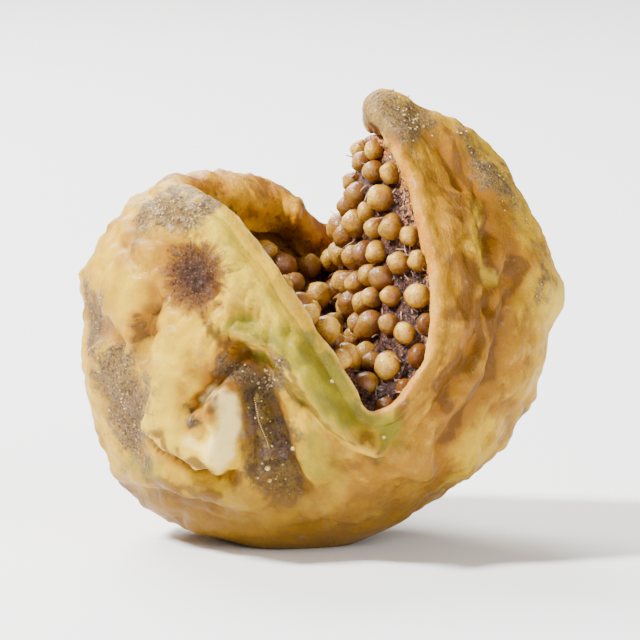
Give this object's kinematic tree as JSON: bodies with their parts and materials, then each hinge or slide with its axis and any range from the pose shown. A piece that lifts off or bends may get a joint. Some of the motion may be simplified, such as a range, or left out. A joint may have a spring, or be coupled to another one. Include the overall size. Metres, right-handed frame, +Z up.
{
  "type": "fig",
  "caption": "Dried fig lying on its side, its wrinkled wall split open into two lobes, with seedy pulp showing in the split and a flat spot to rest on.",
  "frame": {"origin": "under the middle of the fig's outline from above, on the surface that it lies on", "axes": "+Z up; -Y is the front, where the split's lowest point is; +X is to the right of someone who looks at the front, along the fig's longest side, through the taller lobe"},
  "size_m": [0.0326, 0.0288, 0.0306],
  "materials": {
    "dried_skin": "dry wrinkled fruit skin, soft sheen",
    "seedy_pulp": "sticky seeds in dark pulp, soft gloss"
  },
  "bodies": {
    "root": {"wall": "dried_skin", "seed_pulp": "seedy_pulp"}
  },
  "joints": []
}
